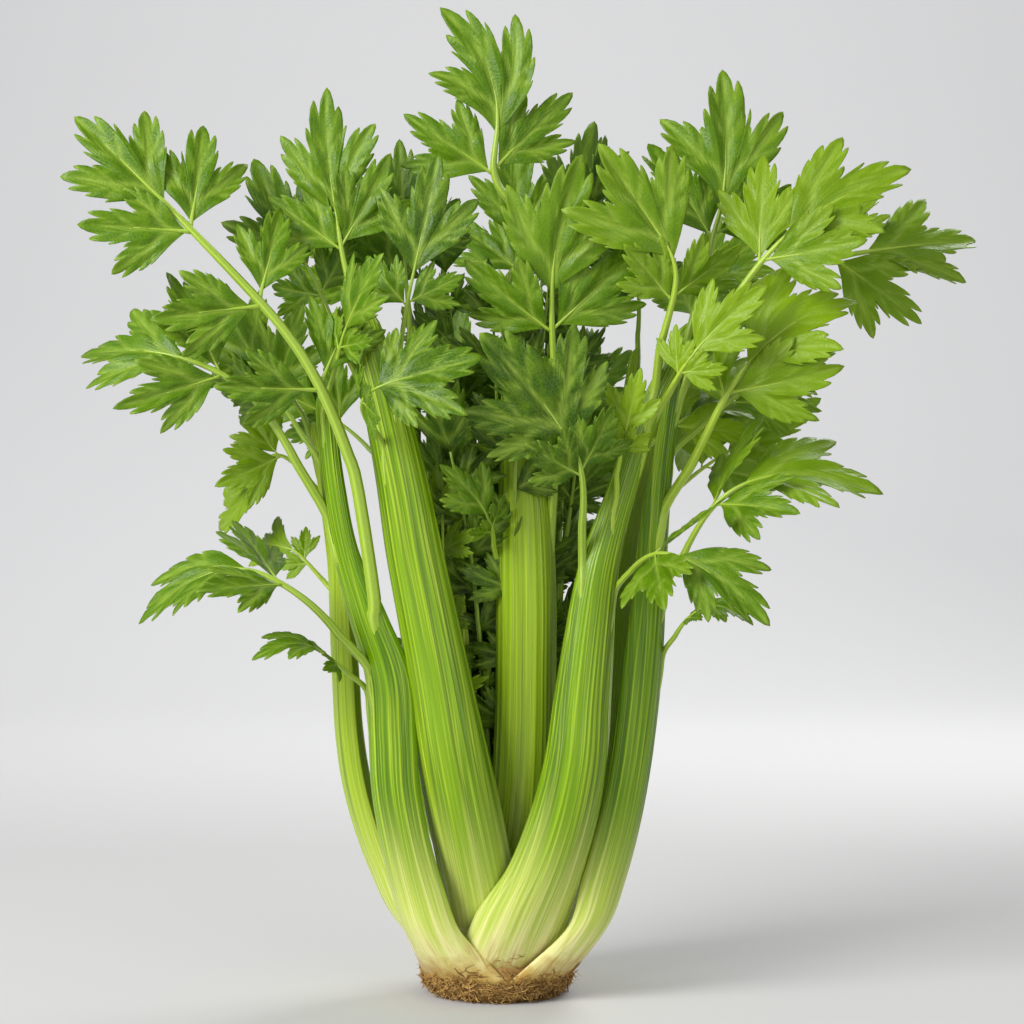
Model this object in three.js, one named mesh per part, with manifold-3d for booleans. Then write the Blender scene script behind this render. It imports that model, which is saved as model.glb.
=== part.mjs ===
// A head of celery, standing on the cut face of its crown: fifteen stalks that wrap one another
// at the foot, and the leaf sprays that grow from them. Millimetres, +Z up, the cut face at z = 0,
// the front of the head towards -Y.
import * as THREE from "three";
import { mergeVertices } from "three/addons/utils/BufferGeometryUtils.js";
import Module from "manifold-3d";

const wasm = await Module();
wasm.setup();

// Driving dimensions
const CUT_FACE_RADIUS = 26; // the flat, trimmed underside of the crown
const CROWN_RADIUS = 32.5; // where the outermost sheaths leave the crown
const CROWN_RIM_HEIGHT = 9; // height of that rim
const WHORL_STEP = 5.1; // each whorl of stalks sits this much further in
const WHORL_RISE = 3.2; // and this much higher
const WHORLS = 5;
const SEAT_GAP = 0.3; // between a sheath and the step of the crown that carries it
const SHEATH_WALL = 4.6; // thickness of the sheaths at the foot
const SHEATH_HEIGHT = 42; // over which a sheath closes up into a stalk
const EDGE_THINNING = 0.6; // share of the wall lost at the two edges of a stalk
const STALK_DEPTH = 0.4; // bulge of the back, as a share of the stalk's width
const STALK_WALL = 0.27; // thickness of the wall, as a share of the width
const BLADE_THICKNESS = 0.9;
const BLADE_SHARE = 0.5; // length of the end leaflet, as a share of its spray
const BLADE_MAX = 54; // and the longest that one grows
const PAIR_SPACING = 0.74; // between pairs of leaflets, in end leaflets
const SIDE_LEAFLET = 0.8; // length of a side leaflet, in end leaflets
const SIDE_ANGLE = 56; // between a side leaflet and the stem, in degrees
const LEAFLET_WIDTH = 0.92; // width of a leaflet, in its own lengths
const LEAFLET_DROOP = 0.18; // fall of a side leaflet's tip, in its own lengths
const PAIR_STAGGER = 0.7; // one leaflet of a pair sits this much ahead of the middle, the other behind
const PAIR_GROWTH = 0.92; // each pair further back, against the one in front of it
const STEM_END = 1.3; // radius of a spray's stem at its end leaflet
const STEM_OVERLAP = 4; // how far the stem runs on under the end leaflet

// Resolution
const STALK_LEVELS = 11;
const SECTION_ARC = 3; // a stalk's section has twice as many edges on each of its two faces
const STEM_SIDES = 6;
const STEM_STEP = 18;
const CROWN_SIDES = 24;
const FINEST_EDGE = 0.05;

const STALK_COLOUR = 0x86a52c;
const HEART_COLOUR = 0xb4c86a;
const LEAF_COLOUR = 0x4f7a1c;
const CROWN_COLOUR = 0xb08a4c;

// Each stalk: the whorl it belongs to, the bearing of its foot and the half angle that its sheath
// wraps, the way its back faces above the sheath, and the middle of its back as [x, y, z, width].
const STALKS = [
  { name: "stalk_left_front", whorl: 0, bearing: 226, wrap: 46, facing: 226,
    way: [[-33, -33, 28, 30], [-40, -38, 50, 26], [-48, -43, 92, 24], [-51, -43, 140, 24],
      [-61, -43, 172, 18],
      [-66, -43, 192, 13], [-70, -43, 215, 12], [-73, -42, 246, 10]] },
  { name: "stalk_right_front", whorl: 0, bearing: 328, wrap: 43, facing: 330,
    way: [[43, -28, 28, 26], [52, -28, 50, 26], [62, -29, 92, 25], [68, -27, 140, 25],
      [70, -28, 175, 20],
      [72, -29, 215, 15], [77, -31, 256, 10]] },
  { name: "stalk_back", whorl: 0, bearing: 96, wrap: 44, facing: 94,
    way: [[-3, 48, 28, 34], [-2, 57, 50, 28], [0, 66, 92, 27], [3, 69, 140, 26], [7, 76, 210, 20],
      [10, 84, 284, 12]] },
  { name: "stalk_front_right", whorl: 1, bearing: 285, wrap: 45, facing: 288,
    way: [[13, -38, 30, 42], [23, -47, 54, 32], [34, -53, 92, 27], [39, -51, 140, 22],
      [45, -49, 186, 17],
      [53, -47, 214, 13], [64, -45, 246, 11], [78, -43, 276, 10]] },
  { name: "stalk_left_back", whorl: 1, bearing: 170, wrap: 39, facing: 178,
    way: [[-44, 7, 30, 30], [-56, 5, 54, 26], [-67, 2, 92, 24], [-71, 0, 140, 23], [-73, 2, 185, 18],
      [-80, 4, 236, 12]] },
  { name: "stalk_right_back", whorl: 1, bearing: 34, wrap: 46, facing: 34,
    way: [[36, 26, 30, 32], [44, 32, 54, 27], [54, 38, 92, 26], [59, 41, 140, 25], [65, 44, 200, 20],
      [78, 48, 266, 12]] },
  { name: "stalk_front_left", whorl: 2, bearing: 252, wrap: 44, facing: 258,
    way: [[-8, -29.5, 36, 31], [-12, -41, 60, 30], [-19, -51, 97, 30], [-26, -53, 140, 26],
      [-35, -53, 186, 24],
      [-44, -51, 236, 20], [-56, -46, 282, 15]] },
  { name: "stalk_right_inner", whorl: 2, bearing: 352, wrap: 38, facing: 356,
    way: [[28, -3, 36, 24], [38, -1, 60, 22], [47, 2, 97, 22], [50, 3, 140, 20], [53, 5, 200, 16],
      [61, 8, 268, 10]] },
  { name: "stalk_back_left", whorl: 2, bearing: 118, wrap: 42, facing: 126,
    way: [[-15, 26, 36, 28], [-22, 33, 60, 25], [-32, 43, 97, 25], [-37, 48, 140, 23],
      [-43, 55, 205, 18], [-52, 64, 276, 11]] },
  { name: "stalk_front_inner", whorl: 3, bearing: 274, wrap: 42, facing: 268,
    way: [[4, -20, 42, 24], [8, -25, 64, 25], [11, -31, 97, 25], [12, -33, 140, 25],
      [12, -33, 190, 24], [10, -31, 240, 17],
      [9, -30, 300, 13]] },
  { name: "stalk_left_inner", whorl: 3, bearing: 166, wrap: 40, facing: 170,
    way: [[-20, 5, 42, 21], [-28, 6, 64, 20], [-37, 7, 97, 20], [-40, 6, 140, 18], [-40, 0, 200, 14],
      [-37, -14, 276, 9]] },
  { name: "stalk_back_inner", whorl: 3, bearing: 48, wrap: 42, facing: 58,
    way: [[13, 17, 42, 21], [16, 24, 64, 20], [19, 32, 97, 20], [21, 35, 140, 18], [24, 39, 210, 14],
      [28, 46, 288, 9]] },
  { name: "heart_stalk_left", whorl: 4, bearing: 205, wrap: 44, facing: 205,
    way: [[-12, -6, 50, 13], [-16, -9, 90, 12], [-17, -11, 140, 10], [-20, -12, 196, 6]] },
  { name: "heart_stalk_right", whorl: 4, bearing: 325, wrap: 44, facing: 330,
    way: [[13, -4, 50, 13], [20, -4, 90, 12], [25, -4, 140, 10], [29, -5, 186, 6]] },
  { name: "heart_stalk_back", whorl: 4, bearing: 85, wrap: 44, facing: 92,
    way: [[-1, 12, 50, 13], [-6, 16, 90, 12], [-8, 19, 140, 10], [-9, 24, 206, 6]] },
];

// The sprays of each stalk. Each leaves its stalk at a height and a place across the back (-1 to 1),
// or from the "end"; its way runs along the stem to the tip of the end leaflet; face is the bearing
// and elevation its upper side looks in.
const SPRAYS = {
  stalk_left_front: [
    { at: 163, across: 0.78, stem: 3.3, pairs: 3, face: [268, 25],
      way: [[-51, -45, 190], [-53, -46, 211], [-63, -51, 236], [-72, -57, 262], [-103, -62, 304],
        [-150, -62, 346], [-192, -58, 358]] },
    { at: 206, across: -0.5, stem: 2.2, pairs: 1, face: [230, 40],
      way: [[-86, -52, 236], [-102, -56, 257], [-127, -60, 273], [-152, -59, 269], [-176, -57, 238]] },
    { at: 143, across: -0.2, stem: 2.2, pairs: 1, face: [232, 50],
      way: [[-72, -58, 167], [-88, -62, 178], [-104, -63, 184], [-128, -62, 175], [-147, -58, 157]] },
    { at: 134, across: -0.6, stem: 1.5, pairs: 0, face: [235, 50], way: [[-74, -54, 151],
      [-84, -60, 156], [-99, -62, 144]] },
    { at: "end", stem: 1.9, pairs: 0, face: [255, 30], way: [[-66, -48, 264], [-60, -66, 284],
      [-44, -82, 310]] },
    { at: 228, across: -0.9, stem: 1.6, pairs: 1, face: [225, 20], way: [[-88, -36, 250],
      [-104, -34, 275], [-118, -30, 308]] },
  ],
  stalk_right_front: [
    { at: 210, across: -0.1, stem: 2.1, pairs: 1, face: [300, 35],
      way: [[86, -44, 236], [98, -52, 262], [124, -58, 287], [168, -58, 282]] },
    { at: 176, across: 0.1, stem: 1.9, pairs: 1, face: [285, 50],
      way: [[86, -44, 206], [101, -48, 219], [123, -50, 223], [158, -46, 214]] },
    { at: 148, across: 0.3, stem: 1.3, pairs: 0, face: [312, 38], way: [[82, -36, 166],
      [93, -40, 169], [106, -45, 160]] },
    { at: "end", stem: 2.2, pairs: 1, face: [280, 40], way: [[94, -26, 290], [140, -24, 317],
      [172, -26, 318], [204, -30, 288]] },
    { at: 232, across: 0.8, stem: 1.7, pairs: 1, face: [330, 35], way: [[95, -14, 250],
      [115, -6, 264], [150, -2, 272]] },
  ],
  stalk_back: [
    { at: "end", stem: 2.6, pairs: 2, face: [92, 25], way: [[12, 84, 310], [10, 88, 340],
      [4, 84, 382]] },
    { at: 236, across: 0.8, stem: 1.9, pairs: 1, face: [110, 30], way: [[-10, 92, 262],
      [-24, 104, 282], [-42, 116, 300]] },
    { at: 214, across: -0.8, stem: 1.9, pairs: 1, face: [75, 30], way: [[30, 92, 246],
      [48, 108, 270], [66, 120, 286]] },
  ],
  stalk_front_right: [
    { at: 188, across: -0.95, stem: 1.6, pairs: 0, face: [265, 12], way: [[36, -62, 212],
      [32, -72, 234], [-8, -82, 275]] },
    { at: 176, across: 0.8, stem: 1.6, pairs: 1, face: [270, 35], way: [[61, -66, 190],
      [78, -82, 188], [105, -92, 160]] },
    { at: 214, across: -0.5, stem: 1.3, pairs: 0, face: [262, 15], way: [[52, -60, 236],
      [58, -68, 264]] },
    { at: 244, across: 0.1, stem: 1.4, pairs: 0, face: [275, 20], way: [[74, -60, 262],
      [84, -66, 276], [108, -72, 296]] },
    { at: 260, across: -0.7, stem: 2, pairs: 0, face: [255, 14], way: [[70, -54, 286],
      [76, -60, 306], [34, -66, 356]] },
    { at: "end", stem: 2.6, pairs: 1, face: [272, 14], way: [[86, -42, 298], [89, -40, 326],
      [93, -32, 391]] },
    { at: 264, across: 0.7, stem: 2, pairs: 1, face: [280, 28], way: [[96, -54, 291],
      [112, -62, 314], [134, -66, 328], [170, -64, 340]] },
  ],
  stalk_left_back: [
    { at: "end", stem: 2.2, pairs: 1, face: [225, 25], way: [[-90, 4, 258], [-106, 0, 272],
      [-140, -6, 268]] },
    { at: 214, across: -0.3, stem: 1.7, pairs: 1, face: [215, 35], way: [[-90, 4, 233],
      [-104, 5, 229], [-115, 4, 190]] },
    { at: 170, across: -0.6, stem: 1.4, pairs: 0, face: [200, 30], way: [[-88, 12, 190],
      [-97, 18, 198], [-112, 24, 176]] },
  ],
  stalk_right_back: [
    { at: "end", stem: 2.4, pairs: 1, face: [30, 25], way: [[86, 50, 288], [100, 54, 312],
      [128, 58, 336]] },
    { at: 216, across: 0.4, stem: 1.9, pairs: 1, face: [45, 30], way: [[82, 62, 238], [98, 74, 256],
      [128, 86, 262]] },
    { at: 206, across: -0.7, stem: 1.8, pairs: 1, face: [330, 25], way: [[90, 36, 225],
      [112, 38, 238], [144, 37, 253]] },
  ],
  stalk_front_left: [
    { at: "end", stem: 2.8, pairs: 1, face: [262, 14], way: [[-62, -45, 304], [-66, -46, 330],
      [-70, -44, 381]] },
    { at: 236, across: -0.15, stem: 1.8, pairs: 0, face: [250, 22], way: [[-56, -70, 246],
      [-52, -82, 254], [-4, -88, 268]] },
    { at: 262, across: -0.8, stem: 1.7, pairs: 0, face: [250, 18], way: [[-74, -36, 300],
      [-86, -28, 322], [-102, -20, 356]] },
    { at: 258, across: 0.6, stem: 1.6, pairs: 0, face: [270, 20], way: [[-37, -55, 288],
      [-32, -58, 310], [-24, -56, 352]] },
  ],
  stalk_right_inner: [
    { at: "end", stem: 1.9, pairs: 1, face: [290, 20], way: [[62, 8, 290], [60, -2, 312],
      [54, -16, 352]] },
    { at: 226, across: -0.5, stem: 1.7, pairs: 1, face: [330, 30], way: [[72, 2, 240], [88, 12, 250],
      [122, 26, 244]] },
  ],
  stalk_back_left: [
    { at: "end", stem: 2.2, pairs: 1, face: [130, 25], way: [[-58, 66, 300], [-72, 70, 326],
      [-96, 72, 352]] },
    { at: 226, across: 0.5, stem: 1.9, pairs: 1, face: [160, 30], way: [[-66, 64, 243],
      [-88, 66, 256], [-120, 62, 271]] },
  ],
  stalk_front_inner: [
    { at: "end", stem: 2.8, pairs: 2, face: [266, 12], way: [[9, -32, 326], [6, -36, 352],
      [-4, -36, 378], [-24, -32, 414]] },
    { at: 206, across: 0.95, stem: 1.8, pairs: 1, face: [272, 12], way: [[24, -40, 236],
      [24, -46, 270], [22, -54, 298], [34, -62, 350]] },
    { at: 186, across: -0.95, stem: 1.2, pairs: 0, face: [262, 20], way: [[-3, -46, 206],
      [-24, -54, 224]] },
  ],
  stalk_left_inner: [
    { at: "end", stem: 2, pairs: 1, face: [255, 16], way: [[-38, -18, 300], [-40, -20, 326],
      [-42, -14, 366]] },
  ],
  stalk_back_inner: [
    { at: "end", stem: 2, pairs: 1, face: [300, 20], way: [[30, 44, 314], [36, 36, 340],
      [44, 22, 378]] },
  ],
  heart_stalk_left: [{ at: "end", stem: 1.3, pairs: 1, face: [250, 15], way: [[-20, -20, 216],
    [-16, -30, 262]] }],
  heart_stalk_right: [{ at: "end", stem: 1.3, pairs: 1, face: [290, 15], way: [[32, -10, 212],
    [38, -20, 262]] }],
  heart_stalk_back: [{ at: "end", stem: 1.3, pairs: 1, face: [280, 15], way: [[-8, 20, 230],
    [-6, 10, 286]] }],
};

const rad = THREE.MathUtils.degToRad;

// Where a foot stands on the stepped crown.
const whorlRadius = (whorl) => CROWN_RADIUS - whorl * WHORL_STEP;
const whorlHeight = (whorl) => CROWN_RIM_HEIGHT + whorl * WHORL_RISE;

// A stalk's section at a height: the middle of its back, the way that faces, half its width, how far
// the back bulges past its edges, and its wall.
function sectionOf(stalk) {
  const radius = whorlRadius(stalk.whorl);
  const bearing = rad(stalk.bearing);
  const footHeight = whorlHeight(stalk.whorl);
  const footWidth = 2 * radius * Math.sin(rad(stalk.wrap));
  const footBulge = radius * (1 - Math.cos(rad(stalk.wrap)));
  const foot = [radius * Math.cos(bearing), radius * Math.sin(bearing), footHeight, footWidth];
  const rows = [foot, ...stalk.way];
  const heights = rows.map((row) => row[2]);
  const values = rows.flatMap(([x, y, , width]) => [x, y, width]);
  const rule = new THREE.CubicInterpolant(heights, values, 3);
  const { smoothstep, lerp } = THREE.MathUtils;
  const section = (height) => {
    const [x, y, width] = rule.evaluate(height);
    const closed = smoothstep(height, footHeight - SHEATH_HEIGHT, footHeight + SHEATH_HEIGHT) * 2 - 1;
    return {
      x,
      y,
      facing: lerp(bearing, rad(stalk.facing), closed),
      halfWidth: width / 2,
      bulge: lerp(footBulge, width * STALK_DEPTH, closed),
      wall: lerp(SHEATH_WALL, width * STALK_WALL, closed),
    };
  };
  return { section, footHeight, endHeight: heights[heights.length - 1] };
}

// How far the back of a section turns between its middle and its edge.
const turnOf = ({ halfWidth, bulge }) => 2 * Math.atan(bulge / halfWidth);

// A point of that section: across runs from one edge to the other, -1 to 1, and depth from the
// hollow side to the back, 0 to 1.
function sectionPoint(place, across, depth, height) {
  const { x, y, facing, halfWidth, bulge, wall } = place;
  const curve = (halfWidth ** 2 + bulge ** 2) / (2 * bulge);
  const angle = across * turnOf(place);
  const r = curve - wall * (1 - EDGE_THINNING * across ** 2) * (1 - depth);
  const out = r * Math.cos(angle) - curve;
  const aside = r * Math.sin(angle);
  return new THREE.Vector3(
    x + out * Math.cos(facing) - aside * Math.sin(facing),
    y + out * Math.sin(facing) + aside * Math.cos(facing),
    height,
  );
}

// Moves every vertex of a geometry to place(vertex).
function reshaped(geometry, place) {
  const position = geometry.getAttribute("position");
  const vertex = new THREE.Vector3();
  for (let i = 0; i < position.count; i++) {
    const moved = place(vertex.fromBufferAttribute(position, i));
    position.setXYZ(i, moved.x, moved.y, moved.z);
  }
  return geometry;
}

// A stalk is a crescent extruded up one unit, with each step then carried to its own section.
const CRESCENT_HALF = rad(70);
const CRESCENT_HOLLOW = 0.6;

function stalkGeometry(stalk) {
  const crescent = new THREE.Shape()
    .absarc(0, 0, 1, -CRESCENT_HALF, CRESCENT_HALF, false)
    .absarc(0, 0, CRESCENT_HOLLOW, CRESCENT_HALF, -CRESCENT_HALF, true);
  const { section, footHeight, endHeight } = sectionOf(stalk);
  const blank = new THREE.ExtrudeGeometry(crescent, {
    depth: 1,
    steps: STALK_LEVELS,
    curveSegments: SECTION_ARC,
    bevelEnabled: false,
  });
  return reshaped(blank, (v) => {
    const across = Math.atan2(v.y, v.x) / CRESCENT_HALF;
    const depth = (Math.hypot(v.x, v.y) - CRESCENT_HOLLOW) / (1 - CRESCENT_HOLLOW);
    const rise = v.z ** 1.35; // closer levels near the foot, where the shape changes most
    const height = THREE.MathUtils.lerp(footHeight, endHeight, rise);
    return sectionPoint(section(height), across, depth, height);
  });
}

// Half of a lobed leaflet's outline, as [across, along] in leaflet widths and lengths.
const LEAFLET_HALF = [[0.03, 0], [0.3, 0.24], [0.5, 0.5], [0.42, 0.68], [0.24, 0.62], [0.26, 0.84]];

function leafletBlank(length) {
  const width = length * LEAFLET_WIDTH;
  const right = LEAFLET_HALF.map(([x, y]) => new THREE.Vector2(x * width, y * length));
  const left = [...right].reverse().map((p) => new THREE.Vector2(-p.x, p.y));
  const outline = new THREE.Shape([...right, new THREE.Vector2(0, length), ...left]);
  return new THREE.ExtrudeGeometry(outline, { depth: BLADE_THICKNESS, bevelEnabled: false });
}

// The middle of a spray's stem where it leaves its stalk.
function rootOf(stalk, { at, across, stem }) {
  const { section, endHeight } = sectionOf(stalk);
  const clearance = stem + 2 * SEAT_GAP;
  if (at === "end") return sectionPoint(section(endHeight), 0, 0.5, endHeight + clearance);
  const place = section(at);
  const outward = place.facing + across * turnOf(place);
  const off = new THREE.Vector3(Math.cos(outward), Math.sin(outward), 0);
  return sectionPoint(place, across, 1, at).addScaledVector(off, clearance);
}

// The line of a spray, with the way it faces at each place along it.
function spineOf(stalk, spray) {
  const points = [rootOf(stalk, spray), ...spray.way.map((p) => new THREE.Vector3(...p))];
  const curve = new THREE.CatmullRomCurve3(points, false, "centripetal");
  const [azimuth, elevation] = spray.face.map(rad);
  const face = new THREE.Vector3(
    Math.cos(elevation) * Math.cos(azimuth),
    Math.cos(elevation) * Math.sin(azimuth),
    Math.sin(elevation),
  );
  const frameAt = (share) => {
    const along = curve.getTangentAt(share);
    const up = face.clone().addScaledVector(along, -face.dot(along)).normalize();
    return { origin: curve.getPointAt(share), along, up, side: along.clone().cross(up) };
  };
  return { frameAt, length: curve.getLength() };
}

const inFrame = ({ origin, along, up, side }, x, y, z) =>
  origin.clone().addScaledVector(side, x).addScaledVector(along, y).addScaledVector(up, z);

function solidOf(geometry) {
  geometry.deleteAttribute("normal");
  geometry.deleteAttribute("uv");
  const merged = mergeVertices(geometry, 1e-3);
  return new wasm.Manifold(
    new wasm.Mesh({
      numProp: 3,
      vertProperties: merged.getAttribute("position").array,
      triVerts: new Uint32Array(merged.index.array),
    }),
  );
}

function geometryOf(solid) {
  const { vertProperties, triVerts } = solid.getMesh();
  return new THREE.BufferGeometry()
    .setAttribute("position", new THREE.BufferAttribute(vertProperties, 3))
    .setIndex(new THREE.BufferAttribute(triVerts, 1));
}

// A tapering stem from the root to just past the base of the end leaflet.
function stemSolid(spray, spine, stemEnd) {
  const section = new THREE.Shape().absarc(0, 0, 1, 0, 2 * Math.PI, false);
  const blank = new THREE.ExtrudeGeometry(section, {
    depth: 1,
    steps: Math.ceil((stemEnd * spine.length) / STEM_STEP),
    curveSegments: STEM_SIDES / 2,
    bevelEnabled: false,
  });
  return solidOf(
    reshaped(blank, (v) => {
      const radius = THREE.MathUtils.lerp(spray.stem, STEM_END, v.z);
      return inFrame(spine.frameAt(v.z * stemEnd), v.x * radius, 0, -v.y * radius);
    }),
  );
}

// Leaflets lie flat first, stem along +Y; a pair leaves the stem at one place, one to each side.
const endLeaflet = (length) => solidOf(leafletBlank(length));
function leafletPair(length) {
  const turned = (hand) =>
    leafletBlank(length).rotateZ(rad(SIDE_ANGLE) * hand).translate(0, hand * PAIR_STAGGER, 0);
  return wasm.Manifold.union([-1, 1].map((hand) => solidOf(turned(hand))));
}

// Bends flat leaflets along the spine from a place on it, drooping to the sides.
function bent(flat, spine, start, droop) {
  return flat.warp((v) => {
    const frame = spine.frameAt(Math.min(1, start + v[1] / spine.length));
    inFrame(frame, v[0], 0, v[2] - BLADE_THICKNESS / 2 - droop * v[0] ** 2).toArray(v);
  });
}

function sprayGeometry(stalk, spray) {
  const spine = spineOf(stalk, spray);
  const blade = Math.min(BLADE_MAX, spine.length * BLADE_SHARE);
  const bladeStart = 1 - blade / spine.length;
  const side = blade * SIDE_LEAFLET;
  const droop = LEAFLET_DROOP / side;
  const end = spray.pairs ? endLeaflet(blade).add(leafletPair(side)) : endLeaflet(blade);
  const stem = stemSolid(spray, spine, bladeStart + STEM_OVERLAP / spine.length);
  const pieces = [stem, bent(end, spine, bladeStart, droop)];
  for (let pair = 1; pair < spray.pairs; pair++) {
    const start = bladeStart - (pair * PAIR_SPACING * blade) / spine.length;
    pieces.push(bent(leafletPair(side * PAIR_GROWTH ** pair), spine, start, droop));
  }
  const joined = wasm.Manifold.union(pieces).simplify(FINEST_EDGE).decompose();
  return geometryOf(joined.sort((a, b) => b.volume() - a.volume())[0]);
}

// The crown is turned: a flat cut face, a rounded side and a step for each whorl of stalks.
function crownGeometry() {
  const rim = [CROWN_RADIUS, CROWN_RIM_HEIGHT - SEAT_GAP];
  const profile = [[0, 0], [CUT_FACE_RADIUS, 0], [CUT_FACE_RADIUS + 3.5, 3], rim];
  for (let whorl = 0; whorl < WHORLS; whorl++) {
    const inner = whorlRadius(whorl + 1) + 0.3;
    profile.push([inner, whorlHeight(whorl) - SEAT_GAP], [inner, whorlHeight(whorl + 1) - SEAT_GAP]);
  }
  profile.push([0, whorlHeight(WHORLS) - SEAT_GAP]);
  const lathe = new THREE.LatheGeometry(profile.map(([r, z]) => new THREE.Vector2(r, z)), CROWN_SIDES);
  return lathe.rotateX(Math.PI / 2);
}

const material = (color, roughness) => new THREE.MeshStandardMaterial({ color, roughness, metalness: 0 });
const crownMaterial = material(CROWN_COLOUR, 0.9);
const stalkMaterial = material(STALK_COLOUR, 0.4);
const heartMaterial = material(HEART_COLOUR, 0.4);
const leafMaterial = material(LEAF_COLOUR, 0.5);

function named(name, geometry, surface) {
  const mesh = new THREE.Mesh(geometry, surface);
  mesh.name = name;
  return mesh;
}

const head = new THREE.Group();
head.add(named("crown", crownGeometry(), crownMaterial));
for (const stalk of STALKS) {
  const surface = stalk.name.startsWith("heart") ? heartMaterial : stalkMaterial;
  head.add(named(stalk.name, stalkGeometry(stalk), surface));
  SPRAYS[stalk.name].forEach((spray, i) => {
    const name = `${stalk.name.replace("stalk", "leaf")}_${i + 1}`;
    head.add(named(name, sprayGeometry(stalk, spray), leafMaterial));
  });
}

export default head;
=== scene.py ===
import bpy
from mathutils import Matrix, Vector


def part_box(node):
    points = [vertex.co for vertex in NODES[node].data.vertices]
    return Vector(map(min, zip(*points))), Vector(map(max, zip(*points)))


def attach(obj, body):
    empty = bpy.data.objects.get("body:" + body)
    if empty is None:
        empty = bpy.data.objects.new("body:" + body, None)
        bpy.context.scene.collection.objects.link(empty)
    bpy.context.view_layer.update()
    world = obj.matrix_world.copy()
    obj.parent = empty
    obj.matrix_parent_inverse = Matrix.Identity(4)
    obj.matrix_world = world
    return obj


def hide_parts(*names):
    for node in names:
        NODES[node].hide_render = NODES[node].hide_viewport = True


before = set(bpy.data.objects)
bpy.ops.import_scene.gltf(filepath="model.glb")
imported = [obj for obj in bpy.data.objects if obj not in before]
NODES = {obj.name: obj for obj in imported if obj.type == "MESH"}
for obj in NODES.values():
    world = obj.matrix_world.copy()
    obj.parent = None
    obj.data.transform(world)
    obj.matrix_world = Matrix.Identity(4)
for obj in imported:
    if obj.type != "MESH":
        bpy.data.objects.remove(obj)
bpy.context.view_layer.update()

import math

import bmesh
import bpy
import numpy as np
from mathutils import Vector, noise
from mathutils.bvhtree import BVHTree

MM = 0.001
SEED = 7


def name_draws(name):
    """Random draws of a piece's own, the same in every run."""
    return np.random.default_rng(SEED + sum(ord(c) * (i + 1) for i, c in enumerate(name)))



# ---------------------------------------------------------------- camera
CAMERA_AWAY = 1.04
CAMERA_HEIGHT = 0.206
CAMERA_ASIDE = 0.0065
LENS = 85
SENSOR_WIDTH = 36

bpy.context.scene.view_settings.view_transform = "Standard"
camera_data = bpy.data.cameras.new("camera")
camera_data.lens = LENS
camera_data.sensor_width = SENSOR_WIDTH
camera = bpy.data.objects.new("camera", camera_data)
camera.location = (CAMERA_ASIDE, -CAMERA_AWAY, CAMERA_HEIGHT)
camera.rotation_euler = (math.radians(90), 0, 0)
bpy.context.scene.collection.objects.link(camera)
bpy.context.scene.camera = camera


# ---------------------------------------------------------------- small helpers
def smooth(xs, ys, x):
    """Smooth values at x through the rows ys, which are given at xs."""
    xs, ys, x = np.asarray(xs, float), np.asarray(ys, float), np.asarray(x, float)
    slopes = np.gradient(ys, xs, axis=0)
    i = np.clip(np.searchsorted(xs, x) - 1, 0, len(xs) - 2)
    span = xs[i + 1] - xs[i]
    t = np.clip((x - xs[i]) / span, 0, 1)
    if ys.ndim > 1:
        span, t = span[..., None], t[..., None]
    near = ys[i] * (2 * t**3 - 3 * t**2 + 1) + slopes[i] * span * (t**3 - 2 * t**2 + t)
    return near + ys[i + 1] * (3 * t**2 - 2 * t**3) + slopes[i + 1] * span * (t**3 - t**2)


def ramp(x, low, high):
    """0 below low, 1 above high and an even S between."""
    t = np.clip((np.asarray(x, float) - low) / (high - low), 0, 1)
    return t * t * (3 - 2 * t)


def unit(v):
    return v / np.linalg.norm(v, axis=-1, keepdims=True)


def merged(name):
    """A copy of a CAD node with its loose triangles joined."""
    bm = bmesh.new()
    bm.from_mesh(NODES[name].data)
    bmesh.ops.remove_doubles(bm, verts=bm.verts, dist=1e-6)
    return bm


def skin(rings):
    """A tube through rows of points, closed at both ends: rings[i][k] is point k of ring i. The
    vertices of the bmesh come in the same order, ring by ring."""
    count, sides = rings.shape[:2]
    bm = bmesh.new()
    bmesh.ops.create_cone(bm, cap_ends=True, segments=sides, radius1=1, radius2=1, depth=count - 1)
    upright = [e for e in bm.edges if abs(e.verts[0].co.z - e.verts[1].co.z) > 0.5]
    if count > 2:
        bmesh.ops.subdivide_edges(bm, edges=upright, cuts=count - 2, use_grid_fill=False)
    for v in bm.verts:
        ring = round(v.co.z + (count - 1) / 2)
        side = round(math.atan2(-v.co.x, v.co.y) / (2 * math.pi) * sides) % sides
        v.index = ring * sides + side
    bm.verts.sort()
    for v, place in zip(bm.verts, rings.reshape(-1, 3)):
        v.co = place
    return bm


def joined(parts):
    """One bmesh from several; each is freed."""
    whole = bmesh.new()
    for part in parts:
        mesh = bpy.data.meshes.new("part")
        part.to_mesh(mesh)
        whole.from_mesh(mesh)
        part.free()
        bpy.data.meshes.remove(mesh)
    return whole


def paint(bm, values):
    """Stores one colour per vertex as the layer that the materials read."""
    layer = bm.verts.layers.float_color.get("tint") or bm.verts.layers.float_color.new("tint")
    for v, value in zip(bm.verts, values):
        v[layer] = value
    return bm


def map_grain(bm, across, along):
    """Stores how far across and along its stalk each vertex lies, in metres, as a UV map."""
    layer = bm.loops.layers.uv.new("grain")
    for face in bm.faces:
        for loop in face.loops:
            loop[layer].uv = (across[loop.vert.index], along[loop.vert.index])


def piece(name, bm, materials, nodes):
    """Turns a finished bmesh into a smooth-shaded piece that stands for some CAD nodes."""
    mesh = bpy.data.meshes.new(name)
    bm.to_mesh(mesh)
    bm.free()
    for material in materials:
        mesh.materials.append(material)
    mesh.shade_smooth()
    obj = bpy.data.objects.new(name, mesh)
    bpy.context.scene.collection.objects.link(obj)
    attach(obj, "root")
    if nodes:
        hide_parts(*nodes)
    return obj


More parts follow.
